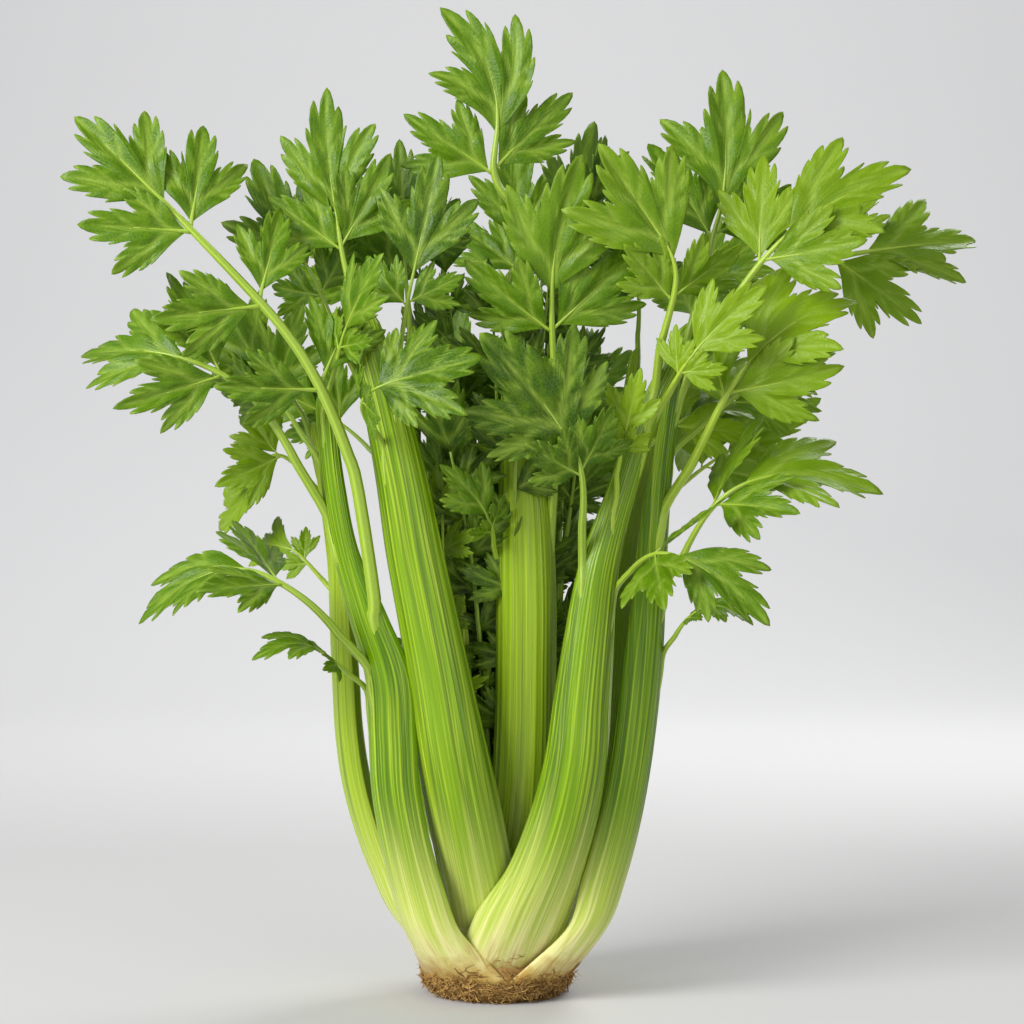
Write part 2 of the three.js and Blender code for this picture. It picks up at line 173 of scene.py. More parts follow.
# ---------------------------------------------------------------- materials
def new_material(name):
    material = bpy.data.materials.new(name)
    material.use_nodes = True
    return material, material.node_tree, material.node_tree.nodes["Principled BSDF"]


def new_group(name, entries, result):
    """A node group that takes numbers and gives one, with its way in and its way out."""
    tree = bpy.data.node_groups.new(name, "ShaderNodeTree")
    for label, way in [*((label, "INPUT") for label in entries), (result, "OUTPUT")]:
        tree.interface.new_socket(label, in_out=way, socket_type="NodeSocketFloat")
    return tree, tree.nodes.new("NodeGroupInput"), tree.nodes.new("NodeGroupOutput")


def grain_group():
    """Streaks that run along a stalk, from the map of how far across and along each point lies."""
    tree, entry, leave = new_group("streaks", ("Across", "Along", "Detail"), "Streak")
    place = tree.nodes.new("ShaderNodeUVMap")
    place.uv_map = "grain"
    spread = tree.nodes.new("ShaderNodeCombineXYZ")
    tree.links.new(entry.outputs["Across"], spread.inputs[0])
    tree.links.new(entry.outputs["Along"], spread.inputs[1])
    scaled = tree.nodes.new("ShaderNodeVectorMath")
    scaled.operation = "MULTIPLY"
    tree.links.new(place.outputs["UV"], scaled.inputs[0])
    tree.links.new(spread.outputs[0], scaled.inputs[1])
    grain = tree.nodes.new("ShaderNodeTexNoise")
    grain.inputs["Scale"].default_value = 1
    grain.inputs["Roughness"].default_value = 0.5
    tree.links.new(entry.outputs["Detail"], grain.inputs["Detail"])
    tree.links.new(scaled.outputs[0], grain.inputs["Vector"])
    tree.links.new(grain.outputs["Fac"], leave.inputs["Streak"])
    return tree


def blotch_group():
    """Blotches of one size in every direction."""
    tree, entry, leave = new_group("blotches", ("Scale",), "Blotch")
    place = tree.nodes.new("ShaderNodeTexCoord")
    grain = tree.nodes.new("ShaderNodeTexNoise")
    grain.inputs["Detail"].default_value = 5
    grain.inputs["Roughness"].default_value = 0.6
    tree.links.new(entry.outputs["Scale"], grain.inputs["Scale"])
    tree.links.new(place.outputs["Object"], grain.inputs["Vector"])
    tree.links.new(grain.outputs["Fac"], leave.inputs["Blotch"])
    return tree


STREAKS = grain_group()
BLOTCHES = blotch_group()


def blotches(tree, scale):
    node = tree.nodes.new("ShaderNodeGroup")
    node.node_tree = BLOTCHES
    node.inputs["Scale"].default_value = scale
    return node.outputs["Blotch"]


def streak(tree, across, along, detail=2):
    node = tree.nodes.new("ShaderNodeGroup")
    node.node_tree = STREAKS
    node.inputs["Across"].default_value = across
    node.inputs["Along"].default_value = along
    node.inputs["Detail"].default_value = detail
    return node.outputs["Streak"]


def feed(tree, socket, value):
    """Links a socket to another, or gives it a plain value."""
    if isinstance(value, bpy.types.NodeSocket):
        tree.links.new(value, socket)
    else:
        socket.default_value = value


def mix(tree, share, a, b):
    """A colour between a and b; each is a colour or a socket, and share is a number or a socket."""
    node = tree.nodes.new("ShaderNodeMix")
    node.data_type = "RGBA"
    for socket, value in ((node.inputs[0], share), (node.inputs[6], a), (node.inputs[7], b)):
        feed(tree, socket, value)
    return node.outputs[2]


def between(tree, value, low, high, to_low=0.0, to_high=1.0):
    """value carried from low..high to to_low..to_high in an even S."""
    node = tree.nodes.new("ShaderNodeMapRange")
    node.interpolation_type = "SMOOTHSTEP"
    tree.links.new(value, node.inputs["Value"])
    for key, number in (("From Min", low), ("From Max", high), ("To Min", to_low), ("To Max", to_high)):
        node.inputs[key].default_value = number
    return node.outputs["Result"]


def times(tree, a, b):
    node = tree.nodes.new("ShaderNodeMath")
    node.operation = "MULTIPLY"
    feed(tree, node.inputs[0], a)
    feed(tree, node.inputs[1], b)
    return node.outputs[0]


def shifted(tree, height, grain, reach):
    """A height moved up or down by a grain, so that what follows it gets a ragged edge."""
    node = tree.nodes.new("ShaderNodeMath")
    node.operation = "MULTIPLY_ADD"
    tree.links.new(grain, node.inputs[0])
    node.inputs[1].default_value = reach
    tree.links.new(height, node.inputs[2])
    return node.outputs[0]


def tint_channels(tree):
    """The three values that each vertex carries, each used as the piece's own material says."""
    attribute = tree.nodes.new("ShaderNodeAttribute")
    attribute.attribute_name = "tint"
    split = tree.nodes.new("ShaderNodeSeparateColor")
    tree.links.new(attribute.outputs["Color"], split.inputs[0])
    return split.outputs[0], split.outputs[1], split.outputs[2]


def along_axis(tree, axis):
    """How far each point lies along X, Y or Z (0, 1 or 2) from the object's origin."""
    place = tree.nodes.new("ShaderNodeTexCoord")
    split = tree.nodes.new("ShaderNodeSeparateXYZ")
    tree.links.new(place.outputs["Object"], split.inputs[0])
    return split.outputs[axis]


def bump(tree, shader, height, distance, strength=1.0):
    node = tree.nodes.new("ShaderNodeBump")
    node.inputs["Distance"].default_value = distance
    node.inputs["Strength"].default_value = strength
    tree.links.new(height, node.inputs["Height"])
    tree.links.new(node.outputs[0], shader.inputs["Normal"])


# Colours, from the stalks' feet up to the ends of the leaves.
CREAM = (0.80, 0.76, 0.34, 1)
PALE_GREEN = (0.46, 0.60, 0.04, 1)
RIB_GREEN = (0.32, 0.50, 0.006, 1)
STALK_GREEN = (0.13, 0.27, 0.0005, 1)
DEEP_GREEN = (0.045, 0.125, 0.0002, 1)
STAIN = (0.46, 0.25, 0.045, 1)
FOOT_GOLD = (0.44, 0.26, 0.045, 1)
SPECK = (0.10, 0.045, 0.01, 1)
LEAF_DARK = (0.020, 0.072, 0.001, 1)
LEAF_MID = (0.090, 0.210, 0.001, 1)
LEAF_BRIGHT = (0.25, 0.41, 0.004, 1)
LEAF_UNDER = (0.20, 0.34, 0.050, 1)
VEIN = (0.36, 0.52, 0.06, 1)
STEM_GROOVE = (0.13, 0.26, 0.012, 1)
STEM_RIDGE = (0.36, 0.50, 0.07, 1)
FIBRE_DARK = (0.10, 0.043, 0.007, 1)
FIBRE_LIGHT = (0.60, 0.38, 0.12, 1)
CROWN_BROWN = (0.27, 0.13, 0.026, 1)
# The front grey is painted shade: darker than the back to hold down the lamps' light on the floor.
SHADED_STUDIO_FRONT = (0.535, 0.53, 0.52, 1)
STUDIO_BACK = (0.665, 0.665, 0.66, 1)

# Grain, in streaks or blotches to the metre.
HAIR_GRAIN = (1500, 14)
LINE_GRAIN = (520, 6)
BAND_GRAIN = (190, 5)
STAIN_GRAIN = (420, 60, 4)
GOLD_GRAIN = 130
SPECK_GRAIN = 420
STEM_GRAIN = 900
CROWN_GRAIN = 700
LEAF_MOTTLE = 130
NET_VEINS = 620

# Heights above the cut base at which a stalk changes colour, in metres.
GREEN_FROM, GREEN_TO = 0.05, 0.125
CREAM_TO, CREAM_FROM = 0.072, 0.042
STAINS_TO, STAINS_FROM = 0.036, 0.011
GOLD_TO, GOLD_FROM = 0.014, -0.001
GREEN_RAGGED = 0.06
GOLD_RAGGED = -0.022


def stalk_material():
    """Glossy ribbed stalk: cream at the foot, green above, with paler ribs and a brown stained foot."""
    material, tree, shader = new_material("stalk_flesh")
    rib, tone, hollow = tint_channels(tree)
    height = along_axis(tree, 2)
    hair = streak(tree, *HAIR_GRAIN)
    line = streak(tree, *LINE_GRAIN)
    band = streak(tree, *BAND_GRAIN)
    valley = mix(tree, between(tree, band, 0.35, 0.62), DEEP_GREEN, STALK_GREEN)
    valley = mix(tree, tone, valley, PALE_GREEN)
    green = mix(tree, between(tree, rib, 0.1, 0.9), valley, RIB_GREEN)
    green = mix(tree, between(tree, hair, 0.5, 0.7, 0, 0.5), green, PALE_GREEN)
    green = mix(tree, between(tree, hair, 0.5, 0.3, 0, 0.35), green, STALK_GREEN)
    green = mix(tree, between(tree, line, 0.58, 0.72, 0, 0.7), green, PALE_GREEN)
    green = mix(tree, between(tree, line, 0.42, 0.28, 0, 0.5), green, DEEP_GREEN)
    young = mix(tree, between(tree, rib, 0, 1, 0.15, 0.8), PALE_GREEN, CREAM)
    young = mix(tree, between(tree, hair, 0.45, 0.7, 0, 0.6), young, CREAM)
    rise = shifted(tree, height, band, GREEN_RAGGED)
    colour = mix(tree, between(tree, rise, GREEN_FROM, GREEN_TO), young, green)
    colour = mix(tree, between(tree, rise, CREAM_TO, CREAM_FROM, 0, 0.95), colour, CREAM)
    colour = mix(tree, times(tree, hollow, 0.35), colour, PALE_GREEN)
    low = between(tree, height, STAINS_TO, STAINS_FROM)
    ragged = shifted(tree, height, blotches(tree, GOLD_GRAIN), GOLD_RAGGED)
    colour = mix(tree, between(tree, ragged, GOLD_TO, GOLD_FROM, 0, 0.85), colour, FOOT_GOLD)
    stained = times(tree, low, between(tree, streak(tree, *STAIN_GRAIN), 0.5, 0.7))
    colour = mix(tree, stained, colour, STAIN)
    specks = times(tree, low, between(tree, blotches(tree, SPECK_GRAIN), 0.66, 0.74))
    colour = mix(tree, specks, colour, SPECK)
    tree.links.new(colour, shader.inputs["Base Color"])
    tree.links.new(between(tree, hair, 0.3, 0.7, 0.22, 0.34), shader.inputs["Roughness"])
    shader.inputs["Specular IOR Level"].default_value = 0.32
    bump(tree, shader, hair, 0.0003, 0.5)
    return material


def leaf_material():
    """Leaf blades: satin, darker above than below, with pale veins and light coming through."""
    material, tree, shader = new_material("leaf_blade")
    vein, tone, under = tint_channels(tree)
    place = tree.nodes.new("ShaderNodeTexCoord")
    mottle = tree.nodes.new("ShaderNodeTexNoise")
    mottle.inputs["Scale"].default_value = LEAF_MOTTLE
    mottle.inputs["Detail"].default_value = 4
    tree.links.new(place.outputs["Object"], mottle.inputs["Vector"])
    net = tree.nodes.new("ShaderNodeTexVoronoi")
    net.feature = "DISTANCE_TO_EDGE"
    net.inputs["Scale"].default_value = NET_VEINS
    tree.links.new(place.outputs["Object"], net.inputs["Vector"])
    speckle = mottle.outputs["Fac"]
    upper = mix(tree, between(tree, tone, 0.0, 0.5), LEAF_DARK, LEAF_MID)
    upper = mix(tree, between(tree, tone, 0.5, 1.0), upper, LEAF_BRIGHT)
    upper = mix(tree, between(tree, speckle, 0.4, 0.75, 0, 0.35), upper, LEAF_BRIGHT)
    upper = mix(tree, between(tree, net.outputs[0], 0.09, 0.0, 0, 0.3), upper, LEAF_BRIGHT)
    lower = mix(tree, between(tree, tone, 0.2, 1.0), LEAF_UNDER, LEAF_BRIGHT)
    colour = mix(tree, times(tree, under, 0.75), upper, lower)
    colour = mix(tree, times(tree, vein, 0.8), colour, VEIN)
    tree.links.new(colour, shader.inputs["Base Color"])
    tree.links.new(between(tree, speckle, 0.3, 0.7, 0.34, 0.5), shader.inputs["Roughness"])
    shader.inputs["Specular IOR Level"].default_value = 0.3
    bump(tree, shader, net.outputs[0], 0.00035, 0.6)
    glow = tree.nodes.new("ShaderNodeBsdfTranslucent")
    tree.links.new(mix(tree, 0.4, colour, LEAF_BRIGHT), glow.inputs["Color"])
    both = tree.nodes.new("ShaderNodeMixShader")
    both.inputs[0].default_value = 0.3
    tree.links.new(shader.outputs[0], both.inputs[1])
    tree.links.new(glow.outputs[0], both.inputs[2])
    tree.links.new(both.outputs[0], tree.nodes["Material Output"].inputs["Surface"])
    return material


def stem_material():
    """Thin stems: pale glossy green with fine lines."""
    material, tree, shader = new_material("leaf_stem")
    line, tone, _ = tint_channels(tree)
    fine = blotches(tree, STEM_GRAIN)
    colour = mix(tree, line, STEM_GROOVE, STEM_RIDGE)
    colour = mix(tree, times(tree, tone, 0.6), colour, PALE_GREEN)
    colour = mix(tree, between(tree, fine, 0.4, 0.7, 0, 0.4), colour, RIB_GREEN)
    tree.links.new(colour, shader.inputs["Base Color"])
    shader.inputs["Roughness"].default_value = 0.34
    shader.inputs["Subsurface Weight"].default_value = 0.08
    shader.inputs["Subsurface Radius"].default_value = (0.5, 0.8, 0.2)
    shader.inputs["Subsurface Scale"].default_value = 0.002
    bump(tree, shader, fine, 0.00015, 0.6)
    return material


def crown_material():
    """Dry, torn crown: tan fibres over brown, and above them pale flesh that turns green."""
    material, tree, shader = new_material("crown_fibre")
    light, flesh, _ = tint_channels(tree)
    grain = blotches(tree, CROWN_GRAIN)
    colour = mix(tree, light, FIBRE_DARK, FIBRE_LIGHT)
    colour = mix(tree, between(tree, grain, 0.42, 0.68, 0, 0.65), colour, CROWN_BROWN)
    height = along_axis(tree, 2)
    low = between(tree, height, 0.035, 0.012)
    worn = times(tree, low, between(tree, grain, 0.4, 0.65))
    bud = mix(tree, between(tree, height, 0.02, 0.075), CREAM, DEEP_GREEN)
    pale = mix(tree, worn, bud, STAIN)
    colour = mix(tree, flesh, colour, pale)
    tree.links.new(colour, shader.inputs["Base Color"])
    shader.inputs["Roughness"].default_value = 0.8
    shader.inputs["Specular IOR Level"].default_value = 0.25
    bump(tree, shader, grain, 0.0006, 0.8)
    return material


STALK = stalk_material()
LEAF = leaf_material()
STEM = stem_material()
CROWN = crown_material()

# ---------------------------------------------------------------- stalks
STALK_RINGS = 120
BACK_POINTS = 84  # across the ribbed back of a section
HOLLOW_POINTS = 30  # across its hollow side
RIB_PITCH = 2.5 * MM
RIB_HEIGHT = 0.55 * MM
PLUMP = 1.10  # how much wider a grown stalk is than its plain section
FOOT_WRAP = 0.16  # how much further round the crown a foot reaches
TIP = 9 * MM  # how far a stalk's end closes beyond its CAD node
TIP_STEPS = (0.3, 0.6, 0.85, 0.97, 1.0)
EDGE_CROWDING = 0.28  # how much closer the points of a section lie near its edges

# How pale each stalk is, from 0 for the darkest green to 1 for the palest.
STALK_TONES = {
    "stalk_left_front": 0.0,
    "stalk_right_front": 0.0,
    "stalk_back": 0.1,
    "stalk_front_right": 0.08,
    "stalk_left_back": 0.6,
    "stalk_right_back": 0.3,
    "stalk_front_left": 0.12,
    "stalk_right_inner": 0.4,
    "stalk_back_left": 0.35,
    "stalk_front_inner": 0.40,
    "stalk_left_inner": 0.1,
    "stalk_back_inner": 0.1,
    "heart_stalk_left": 0.7,
    "heart_stalk_right": 0.7,
    "heart_stalk_back": 0.7,
}


def measure_section(points):
    """The middle of a section's back, the way that faces, its half width, bulge and wall."""
    gaps = np.linalg.norm(points[:, None] - points[None], axis=2)
    i, j = np.unravel_index(gaps.argmax(), gaps.shape)
    middle = (points[i] + points[j]) / 2
    chord = unit(points[j] - points[i])
    normal = np.array((-chord[1], chord[0]))
    out = (points - middle) @ normal
    if abs(out.min()) > out.max():
        normal, out = -normal, -out
    half = gaps[i, j] / 2
    central = abs((points - middle) @ chord) < 0.12 * half
    back = out[central].max()
    front = out[central].min()
    apex = middle + normal * back
    return [*apex, math.atan2(normal[1], normal[0]), half, back, back - front]


def stalk_levels(name):
    """The heights of a stalk's CAD rings and what each section measures."""
    bm = merged(name)
    rows = sorted((v.co[:] for v in bm.verts), key=lambda co: co[2])
    bm.free()
    rings, ring = [], [rows[0]]
    for row in rows[1:]:
        if row[2] - ring[-1][2] > 0.5 * MM:
            rings.append(ring)
            ring = []
        ring.append(row)
    rings.append(ring)
    heights = np.array([np.mean([p[2] for p in r]) for r in rings])
    sections = np.array([measure_section(np.array(r)[:, :2]) for r in rings])
    sections[:, 2] = np.unwrap(sections[:, 2])
    return heights, sections


def section_line():
    """Where each point of a section sits: its place across, and 1 on the back or -1 in the hollow."""
    across = []
    for count, hand in ((BACK_POINTS, 1), (HOLLOW_POINTS, -1)):
        q = np.linspace(0, 1, count, endpoint=False)
        across.append(hand * ((1 - EDGE_CROWDING) * (2 * q - 1) - EDGE_CROWDING * np.cos(math.pi * q)))
    side = np.concatenate([np.ones(BACK_POINTS), -np.ones(HOLLOW_POINTS)])
    return np.concatenate(across), side


ACROSS, SIDE = section_line()


def rib_relief(half, heights, draw):
    """Rounded ribs across the back, each with its own place, breadth and height, 0 to 1."""
    count = max(5, int(2.3 * half.max() / RIB_PITCH))
    steps = draw.uniform(0.45, 1.55, count)
    places = np.cumsum(steps) - steps / 2
    places = places / steps.sum() * 1.9 - 0.95
    relief = np.zeros((len(heights), len(ACROSS)))
    for place, step in zip(places, steps):
        high = draw.uniform(0.25, 1.0) * min(1, 0.55 + 0.4 * step)
        width = step / steps.sum() * draw.uniform(0.40, 0.62)
        swell = 0.85 + 0.15 * np.sin(heights * draw.uniform(15, 40) + draw.uniform(0, 6))
        gap = (ACROSS - place) / width
        relief = np.maximum(relief, high * swell[:, None] * np.exp(-gap * gap * 1.6))
    return relief * (SIDE[None] > 0)


def stalk_rings(name):
    """Rings of points for the skin of a stalk, with the relief of its ribs and, for each point,
    how far across the back and how high it lies."""
    levels, sections = stalk_levels(name)
    foot, top = levels[0], levels[-1]
    heights = np.concatenate([np.linspace(foot, top, STALK_RINGS), top + TIP * np.array(TIP_STEPS)])
    x, y, facing, half, bulge, wall = smooth(levels, sections, np.minimum(heights, top)).T
    full = 1 + (PLUMP - 1) * ramp(heights, 0.012, 0.04) * (1.6 - 0.6 * ramp(heights, 0.06, 0.13))
    half, bulge = half * full, bulge * full
    lean = (sections[-1, :2] - sections[-2, :2]) / (levels[-1] - levels[-2])
    above = np.maximum(heights - top, 0)
    x, y = x + lean[0] * above, y + lean[1] * above
    curve = (half**2 + bulge**2) / (2 * bulge)
    turn = 2 * np.arctan(bulge / half) * (1 + FOOT_WRAP * (1 - ramp(heights, 0.013, 0.036)))
    draw = np.random.default_rng(SEED + len(name) * 31 + ord(name[-1]))
    relief = rib_relief(half, heights, draw)
    wall_at = wall[:, None] * (1 - 0.6 * ACROSS**2)
    lip = np.sqrt(np.clip(1 - np.abs(ACROSS) ** 9, 0, 1))
    middle = curve[:, None] - wall_at / 2
    strength = RIB_HEIGHT * (0.35 + 0.65 * ramp(heights, 0.02, 0.07))[:, None]
    fade = 1 - np.abs(ACROSS) ** 8
    r = middle + SIDE * wall_at / 2 * lip + (relief - 0.45) * strength * fade * (SIDE > 0)
    angle = ACROSS * turn[:, None]
    out = r * np.cos(angle) - curve[:, None]
    aside = r * np.sin(angle)
    close = np.sqrt(np.clip(1 - (above / TIP) ** 2, 0.0, 1))[:, None]
    centre = -(wall / 2)[:, None]
    out, aside = centre + (out - centre) * close, aside * close
    c, s = np.cos(facing)[:, None], np.sin(facing)[:, None]
    along = np.broadcast_to(heights[:, None], out.shape)
    rings = np.stack([x[:, None] + out * c - aside * s, y[:, None] + out * s + aside * c, along], axis=-1)
    return rings, relief, angle * curve[:, None], along


STALK_BACKS = {}  # each finished stalk, ready for finding the nearest place on it
GRAIN_SHIFT = 0.1  # between one stalk and the next, so that no two have the same streaks


def build_stalk(name, tone):
    """One ribbed stalk, hollow along its inner side."""
    rings, relief, across, along = stalk_rings(name)
    bm = skin(rings)
    bm.verts.index_update()
    map_grain(bm, across.ravel() + len(STALK_BACKS) * GRAIN_SHIFT, along.ravel())
    hollow = np.broadcast_to((SIDE < 0).astype(float), relief.shape)
    values = np.stack([relief, np.full(relief.shape, tone), hollow, np.ones(relief.shape)], -1)
    paint(bm, values.reshape(-1, 4))
    bm.verts.ensure_lookup_table()
    last_ring = bm.verts[-rings.shape[1]:]
    bmesh.ops.remove_doubles(bm, verts=last_ring, dist=1e-6)  # the end closes to one point
    mesh = piece(name + "_ribbed", bm, [STALK], [name]).data
    faces = [face.vertices for face in mesh.polygons]
    STALK_BACKS[name] = BVHTree.FromPolygons([v.co for v in mesh.vertices], faces)


for stalk_name, stalk_tone in STALK_TONES.items():
    build_stalk(stalk_name, stalk_tone)

# ---------------------------------------------------------------- leaf sprays
SLICES = 16  # cuts across a spray's node, to find its middle line
BLADE_SHARE = 0.52  # length of an end leaflet, as a share of its spray
BLADE_LONGEST = 56 * MM
PAIR_SPACING = 0.74  # in end leaflets
FIRST_PAIR = 0.26  # how far the first pair sits below the end leaflet, in end leaflets
SIDE_SHARE = 0.8  # length of a side leaflet, in end leaflets
SIDE_ANGLE = 47  # degrees
BLADE_THICKNESS = 0.32 * MM
RING_COUNT = 15  # rows of a leaflet from its base to its edge
RAYS_PER_EDGE = 3  # columns of a leaflet from a tooth to the next notch
STEM_THICKNESS = 0.0125  # radius of a stem, as a share of its spray's length
STEM_THINNEST, STEM_THICKEST = 1.1 * MM, 2.6 * MM
FIVE_LOBED_FROM = 1.08  # leaflets broader than this have five lobes
TOOTH_STATIONS = (-0.84, -0.45, 0.0, 0.45, 0.84)
OUTER_TOOTH = 1.25
LOBE_HALF_ANGLE = math.radians(17)

# The sprays of each stalk. Each has its pairs of side leaflets, how bright a green it is from 0 to
# 1, how deeply its leaflets are cut from 0 to 1, and how broad they are.
SPRAYS = {
    "stalk_left_front": (
        (3, 0.42, 0.75, 0.95), (1, 0.40, 0.75, 0.85), (1, 0.38, 0.85, 0.85), (0, 0.50, 0.70, 0.95),
        (0, 0.52, 0.70, 0.90), (1, 0.42, 0.60, 1.00),
    ),
    "stalk_right_front": (
        (1, 0.85, 0.60, 1.00), (1, 0.62, 0.75, 0.90), (0, 0.45, 0.70, 1.00), (1, 0.75, 0.65, 0.90),
        (1, 0.75, 0.60, 1.00),
    ),
    "stalk_back": ((2, 0.35, 0.60, 1.00), (1, 0.40, 0.60, 1.00), (1, 0.40, 0.60, 1.00)),
    "stalk_front_right": (
        (0, 0.25, 0.35, 1.15), (1, 0.45, 0.70, 0.95), (0, 0.95, 0.55, 1.00), (0, 0.95, 0.55, 1.00),
        (0, 0.62, 0.60, 1.05), (1, 0.42, 0.60, 1.00), (1, 0.72, 0.65, 0.95),
    ),
    "stalk_left_back": ((1, 0.48, 0.60, 1.00), (1, 0.80, 0.55, 1.05), (0, 0.85, 0.60, 1.00)),
    "stalk_right_back": ((1, 0.55, 0.60, 1.00), (1, 0.60, 0.60, 1.00), (1, 0.80, 0.60, 1.00)),
    "stalk_front_left": (
        (1, 0.42, 0.65, 0.95), (0, 0.32, 0.45, 1.10), (0, 0.35, 0.60, 1.00), (0, 0.30, 0.60, 1.00),
    ),
    "stalk_right_inner": ((1, 0.22, 0.60, 1.00), (1, 0.78, 0.60, 1.00)),
    "stalk_back_left": ((1, 0.35, 0.60, 1.00), (1, 0.50, 0.60, 1.00)),
    "stalk_front_inner": ((2, 0.42, 0.70, 0.90), (1, 0.50, 0.55, 1.00), (0, 0.45, 0.70, 1.00)),
    "stalk_left_inner": ((1, 0.25, 0.60, 1.00),),
    "stalk_back_inner": ((1, 0.25, 0.60, 1.00),),
    "heart_stalk_left": ((1, 0.40, 0.80, 0.85),),
    "heart_stalk_right": ((1, 0.40, 0.80, 0.85),),
    "heart_stalk_back": ((1, 0.30, 0.80, 0.85),),
}


def cut_loops(bm, point, axis):
    """The separate outlines where a plane cuts a copy of bm: each as (centre, spread direction, spread)."""
    cut = bm.copy()
    parts = bmesh.ops.bisect_plane(
        cut, geom=[*cut.verts, *cut.edges, *cut.faces], plane_co=Vector(point), plane_no=Vector(axis)
    )["geom_cut"]
    edges = {e for e in parts if isinstance(e, bmesh.types.BMEdge)}
    outlines = []
    while edges:
        stack, group = [edges.pop()], []
        while stack:
            edge = stack.pop()
            group.append(edge)
            near = {e for v in edge.verts for e in v.link_edges} & edges
            edges -= near
            stack.extend(near)
        ends = np.array([[*e.verts[0].co, *e.verts[1].co] for e in group]).reshape(-1, 2, 3)
        weights = np.linalg.norm(ends[:, 0] - ends[:, 1], axis=1) + 1e-9
        centre = np.average(ends.mean(axis=1), axis=0, weights=weights)
        _, spread, ways = np.linalg.svd(ends.reshape(-1, 3) - centre)
        outlines.append((centre, ways[0], spread[0]))
    cut.free()
    return outlines


def spray_line(name, stalk):
    """The middle line of a spray's CAD node, root to tip, and the direction across its leaflets."""
    bm = merged(name)
    places = np.array([v.co for v in bm.verts])
    stalk_bm = merged(stalk)
    tree = BVHTree.FromBMesh(stalk_bm)
    stalk_bm.free()
    gaps = np.array([tree.find_nearest(Vector(p))[3] for p in places])
    root = places[np.argsort(gaps)[:7]].mean(axis=0)
    tip = places[np.linalg.norm(places - root, axis=1).argmax()]
    axis = unit(tip - root)
    reach = np.linalg.norm(tip - root)
    line, wide, side = [root], 0, np.array((1.0, 0, 0))
    step = axis * reach / SLICES
    for k in range(1, SLICES):
        outlines = cut_loops(bm, root + step * k, axis)
        if not outlines:
            continue
        ahead = line[-1] + (line[-1] - line[-2] if len(line) > 1 else step)
        centre, way, spread = min(outlines, key=lambda o: np.linalg.norm(o[0] - ahead))
        line.append(centre)
        if spread > wide:
            wide, side = spread, way
    bm.free()
    line = np.array(line)
    ahead = unit(line[-1] - line[-3])
    if unit(tip - line[-1]) @ ahead < 0.85:  # the farthest corner belongs to a side leaflet
        tip = line[-1] + ahead * ((tip - line[-1]) @ ahead)
    return np.vstack([line, tip]), side


class Spine:
    """A smooth line with a frame along it, measured in metres from its start."""

    def __init__(self, points, side):
        steps = np.linalg.norm(np.diff(points, axis=0), axis=1)
        self.marks = np.concatenate([[0], np.cumsum(steps)])
        self.points = points
        self.length = self.marks[-1]
        self.side = side

    def at(self, s):
        """The place at s and the directions along, across and up there; straight on past the end."""
        s = np.asarray(s, float)
        small = self.length * 0.01
        near = np.clip(s, small, self.length - small)
        before, after = (smooth(self.marks, self.points, near + d) for d in (-small, small))
        along = unit(after - before)
        place = smooth(self.marks, self.points, np.clip(s, 0, self.length))
        place = place + along * np.maximum(s - self.length, 0)[..., None]
        side = unit(self.side - along * (along @ self.side)[..., None])
        return place, along, side, np.cross(side, along)


def settled(line):
    """A spray's line with the unevenness of its leafy half taken out: an even arc to the tip."""
    for _ in range(2):
        line[1:-1] = (line[:-2] + 2 * line[1:-1] + line[2:]) / 4
    half = int(len(line) * 0.42)
    t = np.linspace(0, 1, len(line) - half)
    weights = np.where(t < 0.01, 40.0, 1.0)
    weights[1] = 4.0
    arc = np.stack([np.polyval(np.polyfit(t, line[half:, k], 2, w=weights), t) for k in range(3)], -1)
    line[half:] = arc
    for _ in range(2):
        line[1:-1] = (line[:-2] + 2 * line[1:-1] + line[2:]) / 4
    return line


ROOT_STEPS = ((38, 1.9), (24, 1.4), (12, 0.7), (3, -0.1))  # mm below its CAD root, radii deep
TUBE_GUIDE = np.array((0.3, 1.0, 0.1))  # the side of a stem on which its first ridge lies
WEDGE = 0.72  # how far the rays of a leaflet are drawn together at its base
FAN = 0.34  # and how far they open again towards its edge


def fan(angle, r):
    """Where a ray at this angle from the midrib really runs, r leaflet lengths from the base."""
    return angle * (WEDGE + FAN * r)


def leaflet_outline(deep, lobes, draw):
    """The edge of a leaflet seen from its base: the angles and lengths of its rays, in leaflet
    lengths, and for each tooth its angle, its reach and the lobe it belongs to."""
    keys, teeth_found = [], []
    last = len(lobes) - 1
    half = LOBE_HALF_ANGLE
    for number, (centre, length) in enumerate(lobes):
        centre = math.radians(centre + draw.uniform(-2.5, 2.5))
        length = length * draw.uniform(0.93, 1.05)
        teeth = [*TOOTH_STATIONS]
        if number == 0:
            teeth = [-OUTER_TOOTH, *teeth]
        if number == last:
            teeth = [*teeth, OUTER_TOOTH]
        teeth = [t + draw.uniform(-0.06, 0.06) * (t != 0) for t in teeth]
        envelope = lambda t: length * (1 - 0.34 * abs(t) ** 1.3)
        for t in teeth:
            reach = envelope(t) * draw.uniform(0.97, 1.03)
            keys.append((centre + t * half, reach))
            teeth_found.append((centre + t * half, reach, centre, length, t == 0))
        for left, right in zip(teeth[:-1], teeth[1:]):
            share = 0.70 if left + right > 0 else 0.30
            t = left + (right - left) * share
            depth = draw.uniform(0.08, 0.12) + 0.04 * deep
            keys.append((centre + t * half, envelope(t) * (1 - depth)))
        if number < last:
            middle = math.radians((lobes[number][0] + lobes[number + 1][0]) / 2)
            cut = min(length, lobes[number + 1][1]) * (0.84 - 0.26 * deep)
            keys.append((middle, cut * draw.uniform(0.93, 1.05)))
    keys.sort()
    ends = [(keys[0][0] - math.radians(3), 0.30), (keys[-1][0] + math.radians(3), 0.30)]
    keys = [ends[0], *keys, ends[1]]
    return np.array([k[0] for k in keys]), np.array([k[1] for k in keys]), teeth_found


